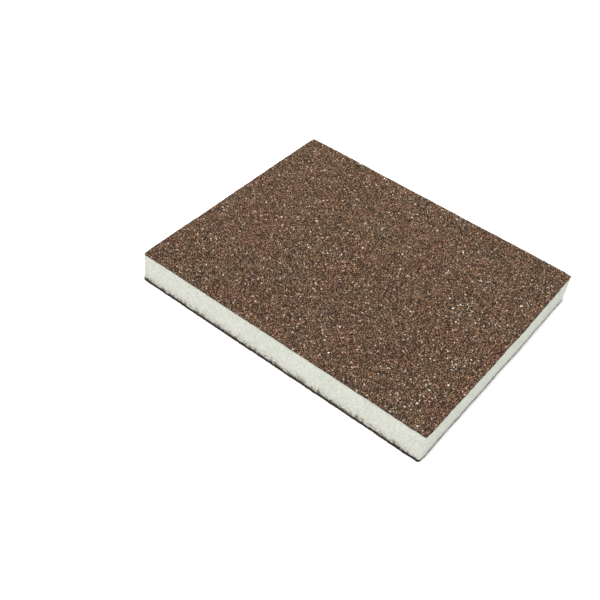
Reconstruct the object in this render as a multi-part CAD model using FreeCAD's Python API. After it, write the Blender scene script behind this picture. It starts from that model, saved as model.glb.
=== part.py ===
"""Double-sided foam sanding block: a flexible foam slab with an abrasive coat on both broad faces.

Frame: +X along the length, +Y along the width, +Z up through the thickness.
The origin is the centre of the lower working face, so the block stands on z = 0.
All sizes are in millimetres.
"""

import os

import FreeCAD
import Part

# Driving dimensions of the finished block.
LENGTH = 120.0
WIDTH = 98.0
THICKNESS = 13.0
CORNER_RADIUS = 0.6  # the cutting die leaves the four upright edges nearly sharp

# The abrasive coat, the same on both faces.
RESIN_THICKNESS = 0.3  # cured resin film, soaked into the skin of the foam
GRIT_THICKNESS = 0.4  # one layer of coarse mineral grains, from their bed in the resin to their tips

COAT_THICKNESS = RESIN_THICKNESS + GRIT_THICKNESS
FOAM_THICKNESS = THICKNESS - 2 * COAT_THICKNESS

PARTS_FOLDER = "parts"
SMALL = 1e-6


def layer(bottom, thickness):
    """One full-size layer of the block, its upright edges rounded, with its lower face at height bottom."""
    slab = Part.makeBox(
        LENGTH,
        WIDTH,
        thickness,
        FreeCAD.Vector(-LENGTH / 2, -WIDTH / 2, bottom),
    )
    upright = [
        edge
        for edge in slab.Edges
        if abs(edge.Vertexes[0].X - edge.Vertexes[1].X) < SMALL
        and abs(edge.Vertexes[0].Y - edge.Vertexes[1].Y) < SMALL
    ]
    return slab.makeFillet(CORNER_RADIUS, upright)


def foam_core():
    """The elastic slab that the hand presses and bends."""
    return layer(COAT_THICKNESS, FOAM_THICKNESS)


def lower_bond_coat():
    """The resin film that holds the lower grains to the foam."""
    return layer(GRIT_THICKNESS, RESIN_THICKNESS)


def lower_grit():
    """The envelope of the lower grains, whose tips are the face that the block stands on."""
    return layer(0.0, GRIT_THICKNESS)


def upper_bond_coat():
    """The resin film that holds the upper grains to the foam."""
    return layer(COAT_THICKNESS + FOAM_THICKNESS, RESIN_THICKNESS)


def upper_grit():
    """The envelope of the upper grains, from the resin to the upper working face."""
    return layer(THICKNESS - GRIT_THICKNESS, GRIT_THICKNESS)


NODES = {
    "lower_grit": lower_grit,
    "lower_bond_coat": lower_bond_coat,
    "foam_core": foam_core,
    "upper_bond_coat": upper_bond_coat,
    "upper_grit": upper_grit,
}


def main():
    os.makedirs(PARTS_FOLDER, exist_ok=True)
    for name, build in NODES.items():
        shape = build()
        shape.exportStep(os.path.join(PARTS_FOLDER, name + ".step"))
        box = shape.BoundBox
        print(f"{name}: {shape.Volume:.0f} mm3, z {box.ZMin:.2f} to {box.ZMax:.2f}")


main()
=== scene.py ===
"""Looks of a double-sided foam sanding block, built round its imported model.

Everything is in the row frame, in metres: +X along the length, +Y along the width, +Z up.
A white foam core has a resin coat and one layer of mineral grains on both broad faces.
"""

import math

import bpy
import numpy as np
from mathutils import Matrix, Vector, noise


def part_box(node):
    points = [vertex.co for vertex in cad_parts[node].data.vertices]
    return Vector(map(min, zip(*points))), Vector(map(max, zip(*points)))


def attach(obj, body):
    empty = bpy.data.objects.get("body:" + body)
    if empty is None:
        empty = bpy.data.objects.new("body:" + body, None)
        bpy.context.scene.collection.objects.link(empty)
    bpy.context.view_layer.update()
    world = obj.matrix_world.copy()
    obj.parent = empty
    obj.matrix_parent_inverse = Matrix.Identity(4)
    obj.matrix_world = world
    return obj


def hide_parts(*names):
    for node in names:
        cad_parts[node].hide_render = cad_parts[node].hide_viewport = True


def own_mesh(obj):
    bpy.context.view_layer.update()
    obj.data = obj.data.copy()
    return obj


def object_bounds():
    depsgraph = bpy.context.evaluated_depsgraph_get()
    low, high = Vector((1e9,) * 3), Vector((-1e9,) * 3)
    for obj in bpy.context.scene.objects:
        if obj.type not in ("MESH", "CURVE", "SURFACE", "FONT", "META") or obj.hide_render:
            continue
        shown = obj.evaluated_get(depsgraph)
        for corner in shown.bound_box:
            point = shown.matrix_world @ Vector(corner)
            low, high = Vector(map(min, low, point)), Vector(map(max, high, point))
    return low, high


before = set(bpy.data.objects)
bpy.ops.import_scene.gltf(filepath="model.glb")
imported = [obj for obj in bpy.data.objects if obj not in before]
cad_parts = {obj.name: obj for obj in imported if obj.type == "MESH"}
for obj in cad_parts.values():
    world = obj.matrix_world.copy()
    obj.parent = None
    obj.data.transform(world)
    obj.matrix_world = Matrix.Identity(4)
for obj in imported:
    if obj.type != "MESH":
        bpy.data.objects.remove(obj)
cad_low, cad_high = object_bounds()

MM = 0.001
BAKE_MAP = "OFBake"  # the UV map that colours are baked into, laid out here to suit each shape

# Places from the frame.
FOAM_LOW, FOAM_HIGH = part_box("foam_core")
HALF_LENGTH = (FOAM_HIGH.x - FOAM_LOW.x) / 2
HALF_WIDTH = (FOAM_HIGH.y - FOAM_LOW.y) / 2
FOAM_HEIGHT = FOAM_HIGH.z - FOAM_LOW.z
UPPER_RESIN_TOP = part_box("upper_bond_coat")[1].z
LOWER_RESIN_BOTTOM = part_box("lower_bond_coat")[0].z
BLOCK_TOP = cad_high.z
GRIT_HEIGHT = BLOCK_TOP - UPPER_RESIN_TOP

# The die-cut outline.
CORNER_RADIUS = 0.6 * MM
OUTLINE_PITCH = 0.24 * MM
ARC_STEPS = 4
EDGE_OUTSET = 0.10 * MM  # the cut wanders about this far outside the nominal size
EDGE_SWAY = (
    (24 * MM, 0.14 * MM),
    (7 * MM, 0.12 * MM),
    (2.4 * MM, 0.13 * MM),
    (1.2 * MM, 0.07 * MM),
)
RIGHT_BOW = 0.40 * MM  # how far the upper right-hand edge stands out in its middle, beyond its ends
BOW_MIDDLE = 0.8  # the share of the bow that lies outside the nominal size, the rest lying inside

# How far the upper coat dips where the die pressed on it: along its edges, and at three corners.
EDGE_DIP, EDGE_DIP_REACH = 0.06 * MM, 0.5 * MM
CORNER_DIPS = (
    ((-1, -1), 0.25 * MM, 3.0 * MM),
    ((1, 1), 0.25 * MM, 3.5 * MM),
    ((-1, 1), 0.10 * MM, 3.0 * MM),
)

# The coats' cut edges.
LOWER_FLARE = 0.58 * MM  # the lower coat stands out under the foam, which the die squeezed as it cut
RIGHT_FLARE = -0.18 * MM  # but on the right-hand side it lies a little further in
CRUMBLE, CRUMBLE_LENGTH = 0.10 * MM, 0.7 * MM  # how unevenly the rim of the lower coat has broken off
EDGE_BEAD = 0.10 * MM  # resin drawn up between the grains at the cut edge
COAT_UNEVENNESS, COAT_WAVELENGTH = 0.03 * MM, 0.7 * MM
COAT_TUCK = 2 * MM  # how far each coat's bonded side runs in from the edge before it is closed by a fan
UPPER_TUCK = 0.06 * MM  # how far behind the foam's side the covered part of the upper coat's edge lies
UPPER_SLOPE = 0.05 * MM  # how much higher its edge starts on the outside than behind the foam
LEDGE_DROP = 0.02 * MM  # how far below the foam the ledge of the lower coat starts

# The foam's cut sides.
FOAM_ROWS = 47
FOAM_INSET = 0.06 * MM
FOAM_BULGE = 0.12 * MM  # the foam swells a little between the coats
FOAM_LIP = 0.25 * MM  # it also creeps up over the cut edge of the upper coat
FOAM_LIP_DEPTH = 1 * MM  # behind the lip, hidden in the coat, the foam's top face starts this far in
FOAM_FLARE = 0.45  # at its foot it follows the lower coat outwards, by this share of the flare
FOAM_FLARE_REACH = 3.0 * MM
FOAM_RELIEF = ((6 * MM, 0.08 * MM), (1.7 * MM, 0.07 * MM), (0.62 * MM, 0.07 * MM))
SOAK_DEPTH = 0.40 * MM  # how far the lower resin climbed up the cut side
SOAK_RIGHT = 0.4  # the share of that on the right-hand side, whose cut is cleaner
SOAK_MEAN, SOAK_LEAST, SOAK_MOST = 0.2, 0.05, 1.5  # as shares of the depth
SOAK_SWAY = ((5 * MM, 0.4), (1.3 * MM, 0.9), (0.55 * MM, 0.8))

# The grains.
CLOSE_TO_EDGE = 1 * MM  # only this near the outline does the sway of the cut matter
GRAIN_PITCH = 0.37 * MM
GRAIN_JITTER = 0.34
GRAIN_REACH = 0.5  # half the width of a grain, as a share of the pitch
GRAIN_SPREAD = 0.2  # of the logarithm of the size
GRAIN_STRETCH = (0.95, 0.7, 0.55), (1.35, 1.0, 1.0)  # along each axis, at least and at most
GRAIN_TILT = math.radians(30)
GRAIN_HEIGHT = 0.50 * MM  # no grain is taller than this, so none reaches through the resin
GRAIN_RISE = 0.10 * MM, 0.24 * MM  # how high a grain's middle is over the resin, at least and at most
GRAIN_GAPS = 0.05  # the share of places that are left without a grain
CORNER_JITTER = 0.28
RIM_GAP = 0.02 * MM, 0.20 * MM  # how far inside the cut edge a grain's centre stays, at least and at most
UPPER_CORNER_CUT = 0.6  # how much of each corner has no grains, as a share of the corner's radius
LOWER_CORNER_CUT = 0.3
EDGE_REACH = 0.9 * MM  # grains are tried this far outside the nominal outline

NOISE_STEP = Vector((17.3, 5.1, 9.7))  # so that each seed samples the noise at another place


def wander(points, wavelength, seed):
    """Smooth noise, from about -1 to 1, at each point."""
    start = NOISE_STEP * seed
    return np.array([noise.noise(Vector(p) / wavelength + start) for p in points])


def octaves(points, layers, seed):
    """Layers of noise added up, each given as its wavelength and its height."""
    return sum(
        height * wander(points, wavelength, seed + i)
        for i, (wavelength, height) in enumerate(layers)
    )


def outline():
    """The outline from above, anticlockwise: its points, outward normals, and which side each is on."""
    points, normals, sides = [], [], []
    for side in range(4):
        turn = side * math.pi / 2
        along = np.array([math.cos(turn), math.sin(turn)])
        out = np.array([math.sin(turn), -math.cos(turn)])
        halves = (HALF_LENGTH, HALF_WIDTH) if side % 2 == 0 else (HALF_WIDTH, HALF_LENGTH)
        reach, depth = halves[0] - CORNER_RADIUS, halves[1]
        steps = round(2 * reach / OUTLINE_PITCH)
        run = np.linspace(-reach, reach, steps, endpoint=False)[:, None]
        points.append(along * run + out * depth)
        normals.append(np.repeat(out[None], steps, axis=0))
        bend = np.linspace(0, math.pi / 2, ARC_STEPS, endpoint=False)[:, None]
        normal = out * np.cos(bend) + along * np.sin(bend)
        points.append(along * reach + out * (depth - CORNER_RADIUS) + normal * CORNER_RADIUS)
        normals.append(normal)
        sides.append(np.full(steps + ARC_STEPS, side))
    return np.concatenate(points), np.concatenate(normals), np.concatenate(sides)


def bowed(y):
    """How far outside the nominal size the upper right-hand edge lies at each place along it."""
    return RIGHT_BOW * (BOW_MIDDLE - (y / HALF_WIDTH) ** 2)


def swayed(points):
    """How far inside the nominal size the cut runs at each point of it."""
    return -EDGE_OUTSET - octaves(points, EDGE_SWAY, seed=1)


FRONT, RIGHT, BACK, LEFT = range(4)
OUTLINE, NORMALS, SIDES = outline()
OUTLINE_3D = np.c_[OUTLINE, np.zeros(len(OUTLINE))]
SWAY = swayed(OUTLINE_3D)
RIGHTNESS = np.clip(NORMALS[:, 0], 0, 1)  # 1 where the cut faces +X, falling to 0 round the corners
BOW = RIGHTNESS * bowed(OUTLINE[:, 1])
FLARE = LOWER_FLARE + RIGHTNESS * (RIGHT_FLARE - LOWER_FLARE)


def shrunk(points, inset):
    """The outline drawn in by inset on every side, without folding over at the corners."""
    return points * (1 - inset / np.array([HALF_LENGTH, HALF_WIDTH]))


def dip(xy):
    """How far the upper coat lies below its nominal height."""
    inside = np.minimum(HALF_LENGTH - np.abs(xy[:, 0]), HALF_WIDTH - np.abs(xy[:, 1]))
    depth = EDGE_DIP * np.exp(-((np.maximum(inside, 0) / EDGE_DIP_REACH) ** 2))
    for (sx, sy), height, reach in CORNER_DIPS:
        away = np.hypot(xy[:, 0] - sx * HALF_LENGTH, xy[:, 1] - sy * HALF_WIDTH)
        depth = depth + height * np.exp(-((away / reach) ** 2))
    return depth


def new_mesh(name, vertices, face_sets):
    """A mesh from vertices and arrays of faces, each array with one number of corners."""
    mesh = bpy.data.meshes.new(name)
    corners = np.concatenate([faces.ravel() for faces in face_sets]).astype(np.int32)
    totals = np.concatenate([np.full(len(f), f.shape[1]) for f in face_sets])
    starts = np.concatenate([[0], np.cumsum(totals)[:-1]]).astype(np.int32)
    mesh.vertices.add(len(vertices))
    mesh.vertices.foreach_set("co", vertices.astype(np.float32).ravel())
    mesh.loops.add(len(corners))
    mesh.loops.foreach_set("vertex_index", corners)
    mesh.polygons.add(len(totals))
    mesh.polygons.foreach_set("loop_start", starts)
    mesh.update(calc_edges=True)
    return mesh


def add_object(mesh, material):
    piece = bpy.data.objects.new(mesh.name, mesh)
    bpy.context.scene.collection.objects.link(piece)
    mesh.materials.append(material)
    return piece


def set_map(mesh, corner_uv):
    """Lay out the map that is baked into, with one pair of numbers for each corner of each face."""
    layer = mesh.uv_layers.new(name=BAKE_MAP)
    layer.data.foreach_set("uv", corner_uv.astype(np.float32).ravel())


def lofted(rings):
    """Vertices, walls and end fans of a closed skin over rings of equal length, the first the lowest."""
    count = len(rings[0])
    vertices = np.concatenate([*rings, rings[0].mean(0)[None], rings[-1].mean(0)[None]])
    here = np.arange(count)
    after = (here + 1) % count
    band = np.stack([here, after, count + after, count + here], axis=1)
    walls = [k * count + band for k in range(len(rings) - 1)]
    last = (len(rings) - 1) * count
    low, high = len(vertices) - 2, len(vertices) - 1
    floor = np.stack([after, here, np.full(count, low)], axis=1)
    roof = np.stack([last + here, last + after, np.full(count, high)], axis=1)
    return vertices, np.concatenate(walls), np.concatenate([floor, roof])


# Materials --------------------------------------------------------------------------------------


class Nodes:
    """Short calls for one material's node tree."""

    def __init__(self, name):
        self.material = bpy.data.materials.new(name)
        self.material.use_nodes = True
        self.tree = self.material.node_tree
        self.shader = self.tree.nodes["Principled BSDF"]

    def link(self, output, socket):
        self.tree.links.new(output, socket)

    def put(self, socket, value):
        if isinstance(value, bpy.types.NodeSocket):
            self.link(value, socket)
        else:
            socket.default_value = value

    def add(self, kind, settings=None, **inputs):
        node = self.tree.nodes.new(kind)
        for key, value in (settings or {}).items():
            setattr(node, key, value)
        for key, value in inputs.items():
            self.put(node.inputs[key.replace("_", " ")], value)
        return node

    def maths(self, operation, a, b=0.0):
        node = self.tree.nodes.new("ShaderNodeMath")
        node.operation = operation
        self.put(node.inputs[0], a)
        self.put(node.inputs[1], b)
        return node.outputs[0]

    def mapped(self, value, start, end, low=0.0, high=1.0, smooth=True):
        node = self.tree.nodes.new("ShaderNodeMapRange")
        node.interpolation_type = "SMOOTHSTEP" if smooth else "LINEAR"
        for i, v in enumerate((value, start, end, low, high)):
            self.put(node.inputs[i], v)
        return node.outputs[0]

    def mixed(self, share, a, b, blend="MIX"):
        node = self.tree.nodes.new("ShaderNodeMix")
        node.data_type = "RGBA"
        node.blend_type = blend
        for i, v in ((0, share), (6, a), (7, b)):
            self.put(node.inputs[i], v)
        return node.outputs[2]

    def ramp(self, value, stops):
        node = self.tree.nodes.new("ShaderNodeValToRGB")
        elements = node.color_ramp.elements
        while len(elements) < len(stops):
            elements.new(0.5)
        for element, (place, colour) in zip(elements, stops):
            element.position = place
            element.color = colour
        self.put(node.inputs[0], value)
        return node.outputs[0]

    def noise(self, vector, scale, detail=2.0, roughness=0.5):
        return self.add(
            "ShaderNodeTexNoise", Vector=vector, Scale=scale, Detail=detail, Roughness=roughness
        ).outputs["Fac"]

    def bumped(self, height, strength, distance):
        """Bump the surface by this height, where a height of 1 stands for the distance."""
        bump = self.add("ShaderNodeBump", Strength=strength, Distance=distance, Height=height)
        self.link(bump.outputs[0], self.shader.inputs["Normal"])


def rgb(red, green, blue):
    return (red, green, blue, 1.0)


# The foam's stains and painted shade, with heights and depths in millimetres.
# The lower darkening is partly grit dust and partly painted shade: the sides are painted darker towards
# their foot.
DUST_AND_SHADE_SHARE, DUST_AND_SHADE_FADE, DUST_AND_SHADE_RAGGEDNESS = 0.90, 1.1, 13.0
RIGHT_DUST_AND_SHADE = 0.45  # the share of the dust and painted shade that is left on the right-hand side
THINNING_FROM, THINNING_TO = 6.0, 0.8  # where the dust and painted shade thin out, measured in from that side
BLEED_SHARE, BLEED_RAGGEDNESS = 0.40, 1.6
BLEED_EDGE = 0.2, -0.9  # the depths between which the upper stain comes in, before the raggedness
SOAK_RAGGEDNESS = 0.9
SOAK_EDGE = 0.0, -0.42  # the heights between which the lower stain comes in, before the raggedness


def foam_body(n, mm):
    """The bare foam: its colour, painted greyer in its cells' hollows as painted shade, and the height of
    its cells.
    """
    cells = n.add("ShaderNodeTexVoronoi", Vector=mm, Scale=1.7, Randomness=1.0).outputs["Distance"]
    fine = n.noise(mm, 2.2, 4.0, 0.7)
    tufts = n.mapped(n.noise(mm, 0.85, 3.0, 0.7), 0.35, 0.68)
    broad = n.noise(mm, 0.16, 2.0)
    pores = n.mapped(n.maths("ADD", cells, n.maths("MULTIPLY", fine, 0.5)), 0.35, 1.0)
    colour = n.mixed(broad, rgb(0.675, 0.693, 0.61), rgb(0.735, 0.750, 0.665))
    # painted shade: the pores are painted grey where the bump below makes them hollow
    colour = n.mixed(n.maths("MULTIPLY", pores, 0.50), colour, rgb(0.42, 0.43, 0.36))
    colour = n.mixed(n.maths("MULTIPLY", tufts, 0.5), colour, rgb(0.795, 0.81, 0.745))
    return colour, n.maths("SUBTRACT", fine, pores)


def foam_stains_and_shade(n, mm, size):
    """How dark the foam is towards its foot (partly grit dust, partly painted shade), how stained from
    above and how soaked from below it is at each place.
    """
    axes = n.add("ShaderNodeSeparateXYZ", Vector=mm).outputs
    height = axes["Z"]
    ragged = n.noise(mm, 0.9, 5.0, 0.75)
    right_thinning = n.mapped(axes["X"], size[0] - THINNING_FROM, size[0] - THINNING_TO, 1.0, RIGHT_DUST_AND_SHADE)
    unevenness = n.maths("MULTIPLY", n.maths("SUBTRACT", 0.5, ragged), DUST_AND_SHADE_RAGGEDNESS)
    fade = n.maths("EXPONENT", n.maths("MULTIPLY", n.maths("ADD", height, unevenness), -1 / DUST_AND_SHADE_FADE))
    dust_and_shade = n.maths("MULTIPLY", n.maths("MINIMUM", fade, 1.0), n.maths("MULTIPLY", right_thinning, DUST_AND_SHADE_SHARE))
    depth = n.maths("SUBTRACT", size[2], height)
    below = n.maths("SUBTRACT", depth, n.maths("MULTIPLY", ragged, BLEED_RAGGEDNESS))
    bleed = n.maths("MULTIPLY", n.mapped(below, *BLEED_EDGE), BLEED_SHARE)
    above = n.maths("SUBTRACT", height, n.maths("MULTIPLY", ragged, SOAK_RAGGEDNESS))
    soaked = n.mapped(above, *SOAK_EDGE)
    return dust_and_shade, bleed, soaked


def foam_material():
    """White fine-celled foam with grit dust and painted shade low on its sides, stained where it meets each
    coat.
    """
    n = Nodes("foam")
    size = (2 * HALF_LENGTH / MM, 2 * HALF_WIDTH / MM, (FOAM_HEIGHT + FOAM_LIP) / MM)
    place = n.add("ShaderNodeVectorMath", {"operation": "MULTIPLY"})
    n.link(n.add("ShaderNodeTexCoord").outputs["Generated"], place.inputs[0])
    place.inputs[1].default_value = size
    mm = place.outputs[0]
    colour, relief = foam_body(n, mm)
    dust_and_shade, bleed, soaked = foam_stains_and_shade(n, mm, size)
    # painted shade and grit dust: dark brown that grows towards the foot of the sides
    colour = n.mixed(dust_and_shade, colour, rgb(0.115, 0.072, 0.046))
    colour = n.mixed(bleed, colour, rgb(0.34, 0.24, 0.16))
    colour = n.mixed(soaked, colour, rgb(0.028, 0.018, 0.012))
    n.link(colour, n.shader.inputs["Base Color"])
    n.link(n.mapped(soaked, 0, 1, 0.92, 0.45, smooth=False), n.shader.inputs["Roughness"])
    n.bumped(relief, 1.0, 0.20 * MM)
    n.shader.inputs["Specular IOR Level"].default_value = 0.25
    return n.material


def resin_material():
    """Dark brown cured resin, coloured near black so that it also serves as painted shade at the lower rim
    and between the grains; uneven where it has soaked into the foam.
    """
    n = Nodes("bond_resin")
    place = n.add("ShaderNodeTexCoord").outputs["Object"]
    patches = n.noise(place, 0.5 / MM, 3.0)
    fine = n.noise(place, 3.0 / MM, 3.0, 0.6)
    # partly painted shade: near black, darker than the resin itself, so the rim and the gaps between grains
    # read as shadow
    colour = n.mixed(patches, rgb(0.009, 0.005, 0.003), rgb(0.026, 0.015, 0.009))
    n.link(colour, n.shader.inputs["Base Color"])
    n.link(n.mapped(fine, 0.3, 0.7, 0.5, 0.8), n.shader.inputs["Roughness"])
    n.bumped(fine, 0.8, 0.08 * MM)
    n.shader.inputs["IOR"].default_value = 1.55
    n.shader.inputs["Specular IOR Level"].default_value = 0.2
    return n.material


# Each kind of mineral: its share of the grains, their size against the others, their colours from
# the darkest grain to the palest, the roughness of those two, and the refractive index.
GRAIN_KINDS = {
    "dark": dict(
        share=0.33,
        size=1.0,
        colours=(rgb(0.018, 0.011, 0.007), rgb(0.045, 0.027, 0.016), rgb(0.097, 0.057, 0.034)),
        gloss=(0.55, 0.22),
        ior=1.5,
    ),
    "brown": dict(
        share=0.35,
        size=1.0,
        colours=(rgb(0.155, 0.091, 0.051), rgb(0.287, 0.168, 0.098), rgb(0.418, 0.251, 0.152)),
        gloss=(0.50, 0.18),
        ior=1.5,
    ),
    "tan": dict(
        share=0.305,
        size=1.0,
        colours=(rgb(0.318, 0.193, 0.117), rgb(0.520, 0.332, 0.212), rgb(0.720, 0.508, 0.348)),
        gloss=(0.45, 0.12),
        ior=1.6,
    ),
    # painted highlight: these few large clear grains are coloured near white, so they show as bright glints
    # whichever way their facets face
    "clear_glint": dict(
        share=0.015,
        size=1.6,
        colours=(rgb(0.700, 0.580, 0.480), rgb(0.900, 0.840, 0.770), rgb(0.980, 0.960, 0.930)),
        gloss=(0.30, 0.06),
        ior=1.76,
    ),
}


def grain_material(kind):
    """Crushed mineral: a tone and a gloss for every grain, in broad patches of redder and greyer grain."""
    n = Nodes("grit_" + kind)
    looks = GRAIN_KINDS[kind]
    tone = n.add("ShaderNodeAttribute", {"attribute_name": "grain_tone"}).outputs["Fac"]
    place = n.add("ShaderNodeTexCoord").outputs["Object"]
    colour = n.ramp(tone, list(zip((0.0, 0.55, 1.0), looks["colours"])))
    patches = n.mapped(n.noise(place, 0.09 / MM, 3.0, 0.6), 0.35, 0.65)
    tint = n.mixed(patches, rgb(1.0, 0.87, 0.81), rgb(0.95, 0.97, 0.90))
    n.link(n.mixed(1.0, colour, tint, "MULTIPLY"), n.shader.inputs["Base Color"])
    n.link(n.mapped(tone, 0.0, 1.0, *looks["gloss"], smooth=False), n.shader.inputs["Roughness"])
    n.shader.inputs["IOR"].default_value = looks["ior"]
    return n.material


# Pieces -----------------------------------------------------------------------------------------


def foam_face(rise):
    """How far behind the coats' edge the foam's cut side lies, at a height above its bottom."""
    share = rise / FOAM_HEIGHT
    swell = FOAM_BULGE * (1 - (2 * share - 1) ** 2)
    return FOAM_INSET - swell - FLARE * FOAM_FLARE * np.exp(-rise / FOAM_FLARE_REACH)


def foam_core(material):
    """The foam slab: its cut sides swell softly, flare at the foot and creep over the upper coat's edge."""
    top = FOAM_HEIGHT - dip(OUTLINE)
    rings = []
    for share in np.linspace(0, 1, FOAM_ROWS):
        points = np.c_[OUTLINE, FOAM_LOW.z + share * (top + FOAM_LIP)]
        rise = points[:, 2] - FOAM_LOW.z
        inset = SWAY - BOW * share + foam_face(rise) + octaves(points, FOAM_RELIEF, seed=11)
        rings.append(np.c_[OUTLINE - NORMALS * inset[:, None], points[:, 2]])
    rings.append(np.c_[shrunk(OUTLINE, FOAM_LIP_DEPTH), FOAM_LOW.z + top])
    vertices, walls, caps = lofted(rings)
    mesh = new_mesh("foam_core_body", vertices, [walls, caps])
    set_map(mesh, foam_map(vertices, walls, caps))
    mesh.shade_smooth()
    piece = add_object(mesh, material)
    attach(piece, "pad_base")
    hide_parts("foam_core")
    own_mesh(piece)


# The foam's map: a strip for each side, of this height and with this gap, and the hidden caps above.
STRIP, STRIP_GAP = 0.22, 0.01
STRIP_HALF_LENGTH = 0.49
CAPS_MIDDLE = 4 * (STRIP + STRIP_GAP) + 0.04
CAPS_HALF_SIZE = 0.03, 0.02


def foam_map(vertices, walls, caps):
    """Where each corner of the foam's faces lies on its map: walls first, then caps."""
    side = SIDES[walls[:, 0] % len(OUTLINE)][:, None]
    wall = vertices[walls]
    run = np.where(side % 2 == 0, wall[..., 0] / HALF_LENGTH, wall[..., 1] / HALF_WIDTH)
    along = run * STRIP_HALF_LENGTH + 0.5
    up = STRIP_GAP + side * (STRIP + STRIP_GAP) + (wall[..., 2] - FOAM_LOW.z) / FOAM_HEIGHT * STRIP
    cap = vertices[caps]
    across = cap[..., 0] / HALF_LENGTH * CAPS_HALF_SIZE[0] + 0.5
    over = cap[..., 1] / HALF_WIDTH * CAPS_HALF_SIZE[1] + CAPS_MIDDLE
    wall_uv, cap_uv = np.stack([along, up], axis=-1), np.stack([across, over], axis=-1)
    return np.concatenate([wall_uv.reshape(-1, 2), cap_uv.reshape(-1, 2)])


def soaked_skirt(seed):
    """How far the resin soaked into the cut side at each place along it, as a share of its usual depth."""
    return np.clip(SOAK_MEAN + octaves(OUTLINE_3D, SOAK_SWAY, seed), SOAK_LEAST, SOAK_MOST)


def coat_rings(face, up, edge, seed):
    """The coat's face, which looks up (1) or down (-1), from its rim inwards: a bead, then flat."""
    bead = up * EDGE_BEAD
    profile = [(0.02 * MM, 0.6 * bead), (0.12 * MM, bead), (0.30 * MM, 0.6 * bead)]
    profile += [(inset * MM, 0.0) for inset in (0.8, 1.6, 3.2, 6.0, 10.0)]
    rings = []
    for inset, rise in profile:
        xy = shrunk(edge, inset)
        sunk = dip(xy) if up > 0 else 0
        level = face + rise
        uneven = wander(np.c_[xy, np.full(len(xy), level)], COAT_WAVELENGTH, seed)
        rings.append(np.c_[xy, level - sunk + COAT_UNEVENNESS * uneven])
    return rings


def upper_resin(material):
    """The upper coat, whose cut edge the foam half covers."""
    edge = OUTLINE - NORMALS * (SWAY - BOW)[:, None]
    tucked = edge - NORMALS * (FOAM_INSET + UPPER_TUCK)
    bed = FOAM_HIGH.z - dip(OUTLINE)
    covered = bed + FOAM_LIP * np.clip(0.4 + 0.6 * soaked_skirt(seed=31), 0.3, 1.0)
    rings = [
        np.c_[shrunk(edge, COAT_TUCK), bed],
        np.c_[tucked, bed],
        np.c_[tucked, covered],
        np.c_[edge, covered + UPPER_SLOPE],
    ]
    rings += coat_rings(UPPER_RESIN_TOP, 1, edge, seed=36)
    resin_piece("upper_resin", rings, material, "upper_coat", "upper_bond_coat")


# The resin that climbed the foam's side: shares of the climb, and how far each stands out of the foam.
CLIMB_PROFILE = ((1.0, -0.08 * MM), (0.7, 0.03 * MM), (0.3, 0.05 * MM), (0.05, 0.08 * MM))


def lower_resin(material):
    """The lower coat, which stands out as a ledge under the foam and has climbed its cut side."""
    crumbled = CRUMBLE * wander(OUTLINE_3D, CRUMBLE_LENGTH, seed=61)
    edge = OUTLINE - NORMALS * (SWAY - FLARE + crumbled)[:, None]
    side = OUTLINE - NORMALS * SWAY[:, None]
    climb = SOAK_DEPTH * soaked_skirt(seed=47) * np.where(SIDES == RIGHT, SOAK_RIGHT, 1.0)
    bed = FOAM_LOW.z
    rings = [np.c_[shrunk(edge, COAT_TUCK), np.full(len(edge), bed)]]
    for share, proud in CLIMB_PROFILE:
        behind = foam_face(climb * share) - proud
        rings.append(np.c_[side - NORMALS * behind[:, None], bed + climb * share])
    rings.append(np.c_[edge, np.full(len(edge), bed - LEDGE_DROP)])
    rings.append(np.c_[edge, np.full(len(edge), (bed + LOWER_RESIN_BOTTOM) / 2)])
    rings += coat_rings(LOWER_RESIN_BOTTOM, -1, edge, seed=52)
    resin_piece("lower_resin", rings[::-1], material, "pad_base", "lower_bond_coat")


def resin_piece(name, rings, material, body, node):
    """A closed piece of resin over these rings, which rides on the body and stands for the node."""
    vertices, walls, caps = lofted(rings)
    mesh = new_mesh(name, vertices, [walls, caps])
    mesh.shade_smooth()
    piece = add_object(mesh, material)
    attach(piece, body)
    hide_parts(node)


# Shapes of crushed grains: corners about the middle, and triangles, anticlockwise seen from outside.
THIRDS = [(math.cos(a), math.sin(a)) for a in np.radians((0, 120, 240))]
SHARD = (
    [(x, y, -0.5) for x, y in THIRDS] + [(0.1, 0.0, 0.95)],
    [(0, 1, 3), (1, 2, 3), (2, 0, 3), (0, 2, 1)],
)
PEAK = (
    [(0.95, 0, -0.5), (0, 0.9, -0.5), (-0.95, 0, -0.5), (0, -0.9, -0.5), (0.05, 0.1, 0.85)],
    [(0, 1, 4), (1, 2, 4), (2, 3, 4), (3, 0, 4), (0, 3, 2), (0, 2, 1)],
)
BLOCK = (
    [(x, y, -0.6) for x, y in THIRDS] + [(0.62 * x, 0.62 * y, 0.6) for x, y in THIRDS],
    [(3, 4, 5), (0, 2, 1), (0, 1, 4), (0, 4, 3), (1, 2, 5), (1, 5, 4), (2, 0, 3), (2, 3, 5)],
)
GRAIN_SHAPES = ((SHARD, 0.44), (PEAK, 0.34), (BLOCK, 0.22))


def gap_to_edge(xy, upper):
    """How far inside the wandering cut edge of the upper or lower face each point lies."""
    x, y = xy.T
    gaps = np.stack([y + HALF_WIDTH, HALF_LENGTH - x, HALF_WIDTH - y, x + HALF_LENGTH])
    gaps[RIGHT] += bowed(y) if upper else RIGHT_FLARE
    gaps[[FRONT, BACK, LEFT]] += 0.0 if upper else LOWER_FLARE
    side, gap = gaps.argmin(0), gaps.min(0)
    foot = np.c_[xy, np.zeros(len(xy))]
    foot[side == FRONT, 1] = -HALF_WIDTH
    foot[side == RIGHT, 0] = HALF_LENGTH
    foot[side == BACK, 1] = HALF_WIDTH
    foot[side == LEFT, 0] = -HALF_LENGTH
    near = gap < CLOSE_TO_EDGE
    gap[near] -= swayed(foot[near])
    return gap


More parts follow.
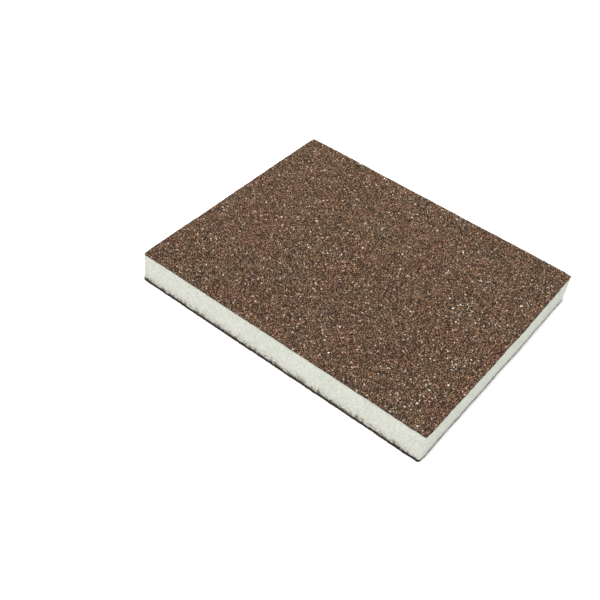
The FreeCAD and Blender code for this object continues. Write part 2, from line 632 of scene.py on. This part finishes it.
def grain_places(rng, upper):
    """Centres of one layer of grains, on a staggered grid with jitter, kept inside the cut edge."""
    rows = GRAIN_PITCH * math.sqrt(3) / 2
    half_x, half_y = HALF_LENGTH + EDGE_REACH, HALF_WIDTH + EDGE_REACH
    ys = np.arange(-half_y, half_y, rows)
    xs = np.arange(-half_x, half_x, GRAIN_PITCH)
    grid = np.stack(np.meshgrid(xs, ys), axis=-1)
    grid[1::2, :, 0] += GRAIN_PITCH / 2
    xy = grid.reshape(-1, 2)
    xy = xy + rng.uniform(-GRAIN_JITTER, GRAIN_JITTER, xy.shape) * GRAIN_PITCH
    least = rng.uniform(*RIM_GAP, len(xy))
    cut = UPPER_CORNER_CUT if upper else LOWER_CORNER_CUT
    corner = np.abs(xy).sum(1) > HALF_LENGTH + HALF_WIDTH - cut * CORNER_RADIUS
    kept = (gap_to_edge(xy, upper) > least) & ~corner & (rng.random(len(xy)) > GRAIN_GAPS)
    return xy[kept]


def turned(points, tilt, yaw, lean):
    """Points of each grain turned by tilt about a level axis at angle lean, then by yaw about Z."""
    axis = np.stack([np.cos(lean), np.sin(lean), np.zeros_like(lean)], axis=1)[:, None]
    c, s = np.cos(tilt)[:, None, None], np.sin(tilt)[:, None, None]
    dot = (points * axis).sum(-1, keepdims=True)
    points = points * c + np.cross(np.broadcast_to(axis, points.shape), points) * s + axis * dot * (1 - c)
    cy, sy = np.cos(yaw)[:, None], np.sin(yaw)[:, None]
    x, y = points[..., 0].copy(), points[..., 1].copy()
    points[..., 0] = x * cy - y * sy
    points[..., 1] = x * sy + y * cy
    return points


def crushed(shape, xy, size, rng):
    """Corners, triangles and tones of one grain of this shape at each place, over a resin at height 0."""
    corners, faces = np.array(shape[0]), np.array(shape[1])
    count = len(xy)
    points = corners[None] + rng.uniform(-CORNER_JITTER, CORNER_JITTER, (count, *corners.shape))
    reach = GRAIN_PITCH * GRAIN_REACH * size * rng.lognormal(0, GRAIN_SPREAD, count)
    stretch = rng.uniform(*GRAIN_STRETCH, (count, 3))
    points = points * (stretch * reach[:, None])[:, None]
    points = turned(
        points,
        rng.uniform(0, GRAIN_TILT, count),
        rng.uniform(0, 2 * math.pi, count),
        rng.uniform(0, 2 * math.pi, count),
    )
    height = np.ptp(points[..., 2], axis=1)
    points[..., 2] *= np.minimum(GRAIN_HEIGHT / height, 1.0)[:, None]
    points[..., 2] += rng.uniform(*GRAIN_RISE, count)[:, None]
    points[..., 2] -= np.maximum(points[..., 2].max(1) - GRIT_HEIGHT, 0)[:, None]
    points[..., :2] += xy[:, None]
    triangles = faces[None] + (np.arange(count) * len(corners))[:, None, None]
    tone = np.repeat(rng.random(count), len(corners))
    return points.reshape(-1, 3), triangles.reshape(-1, 3), tone


def grit_mesh(name, xy, size, face, up, rng):
    """One mesh of closed grains on the resin's face, which looks up (1) or down (-1)."""
    pick = rng.choice(len(GRAIN_SHAPES), len(xy), p=[share for _, share in GRAIN_SHAPES])
    vertices, triangles, tones, start = [], [], [], 0
    for i, (shape, _) in enumerate(GRAIN_SHAPES):
        points, faces, tone = crushed(shape, xy[pick == i], size, rng)
        vertices.append(points)
        triangles.append(faces + start)
        tones.append(tone)
        start += len(points)
    points, faces = np.concatenate(vertices), np.concatenate(triangles)
    if up > 0:
        points[:, 2] += face - dip(points[:, :2])
    else:
        points[:, 2] = face - points[:, 2]
        faces = faces[:, ::-1]
    mesh = new_mesh(name, points, [faces])
    attribute = mesh.attributes.new("grain_tone", "FLOAT", "POINT")
    attribute.data.foreach_set("value", np.concatenate(tones).astype(np.float32))
    share = points[:, :2] / (2 * HALF_LENGTH, 2 * HALF_WIDTH) + 0.5
    set_map(mesh, share[faces.ravel()].clip(0, 1))
    mesh.shade_flat()
    return mesh


def grit(layer, face, up, body, node, materials, seed):
    """The grains of one face, one piece for each mineral kind."""
    rng = np.random.default_rng(seed)
    xy = grain_places(rng, up > 0)
    shares = [looks["share"] for looks in GRAIN_KINDS.values()]
    pick = rng.choice(len(shares), len(xy), p=shares)
    for i, (kind, looks) in enumerate(GRAIN_KINDS.items()):
        mesh = grit_mesh(f"{layer}_grit_{kind}", xy[pick == i], looks["size"], face, up, rng)
        piece = add_object(mesh, materials[kind])
        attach(piece, body)
        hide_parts(node)


# Studio -----------------------------------------------------------------------------------------

HORIZON_FADE = 0.45  # the height, as the sine of an elevation, where the surround stops fading
ZENITH_LIGHT = 0.12
FLOOR_REACH = 1.6


def floor():
    """A pale sheet of paper that the block lies on."""
    corners = np.array([(-1, -1, 0), (1, -1, 0), (1, 1, 0), (-1, 1, 0)]) * FLOOR_REACH
    n = Nodes("floor_paper")
    place = n.add("ShaderNodeTexCoord").outputs["Object"]
    shade = n.noise(place, 3.0, 2.0)
    n.link(n.mixed(shade, rgb(0.90, 0.90, 0.90), rgb(0.92, 0.92, 0.92)), n.shader.inputs["Base Color"])
    n.shader.inputs["Roughness"].default_value = 0.9
    n.shader.inputs["Specular IOR Level"].default_value = 0.2
    piece = add_object(new_mesh("floor", corners, [np.array([[0, 1, 2, 3]])]), n.material)


def aimed(place, target, roll=0.0):
    """The matrix of a camera or lamp at place that looks at target, its right-hand side raised by roll."""
    back = (place - target).normalized()
    right = Vector((0, 0, 1)).cross(back).normalized()
    up = back.cross(right)
    raised = right * math.cos(roll) + up * math.sin(roll)
    upright = back.cross(raised)
    turn = Matrix((raised, upright, back)).transposed()
    return Matrix.Translation(place) @ turn.to_4x4()


def softbox(name, place, size, watts):
    data = bpy.data.lights.new(name, "AREA")
    data.shape = "DISK"
    data.size = size
    data.energy = watts
    lamp = bpy.data.objects.new(name, data)
    lamp.matrix_world = aimed(Vector(place), Vector((0, 0, 0)))
    bpy.context.scene.collection.objects.link(lamp)


def studio():
    """A pale surround, brightest at the horizon, an overhead lamp, a small one for glints and a fill."""
    world = bpy.data.worlds.new("studio")
    world.use_nodes = True
    tree = world.node_tree
    place = tree.nodes.new("ShaderNodeTexCoord")
    axes = tree.nodes.new("ShaderNodeSeparateXYZ")
    fade = tree.nodes.new("ShaderNodeMapRange")
    fade.interpolation_type = "SMOOTHSTEP"
    for i, value in enumerate((0.0, HORIZON_FADE, 1.0, ZENITH_LIGHT), 1):
        fade.inputs[i].default_value = value
    tree.links.new(place.outputs["Generated"], axes.inputs[0])
    tree.links.new(axes.outputs["Z"], fade.inputs[0])
    tree.links.new(fade.outputs[0], tree.nodes["Background"].inputs["Strength"])
    tree.nodes["Background"].inputs["Color"].default_value = rgb(1.0, 1.0, 1.0)
    bpy.context.scene.world = world
    softbox("key", (0.10, -0.45, 3.60), size=1.2, watts=146.0)
    softbox("spark", (-1.35, -0.15, 3.30), size=0.27, watts=45.0)
    softbox("fill", (1.50, -1.50, 2.40), size=1.5, watts=14.0)


def camera():
    """A camera above and beyond the near right-hand corner, with a small roll."""
    data = bpy.data.cameras.new("camera")
    data.lens = 56.1
    data.sensor_width = 36.0
    data.clip_start = 0.01
    seen_from = Vector((121.7, -218.53, 238.0)) * MM
    looks_at = Vector((-4.8, -29.58, 13.0)) * MM
    piece = bpy.data.objects.new("camera", data)
    piece.matrix_world = aimed(seen_from, looks_at, math.radians(6.70))
    bpy.context.scene.collection.objects.link(piece)
    bpy.context.scene.camera = piece


def build():
    foam_core(foam_material())
    resin = resin_material()
    upper_resin(resin)
    lower_resin(resin)
    grains = {kind: grain_material(kind) for kind in GRAIN_KINDS}
    grit("upper", UPPER_RESIN_TOP, 1, "upper_coat", "upper_grit", grains, seed=5)
    grit("lower", LOWER_RESIN_BOTTOM, -1, "pad_base", "lower_grit", grains, seed=6)
    floor()
    studio()
    camera()
    bpy.context.scene.view_settings.view_transform = "Standard"


build()
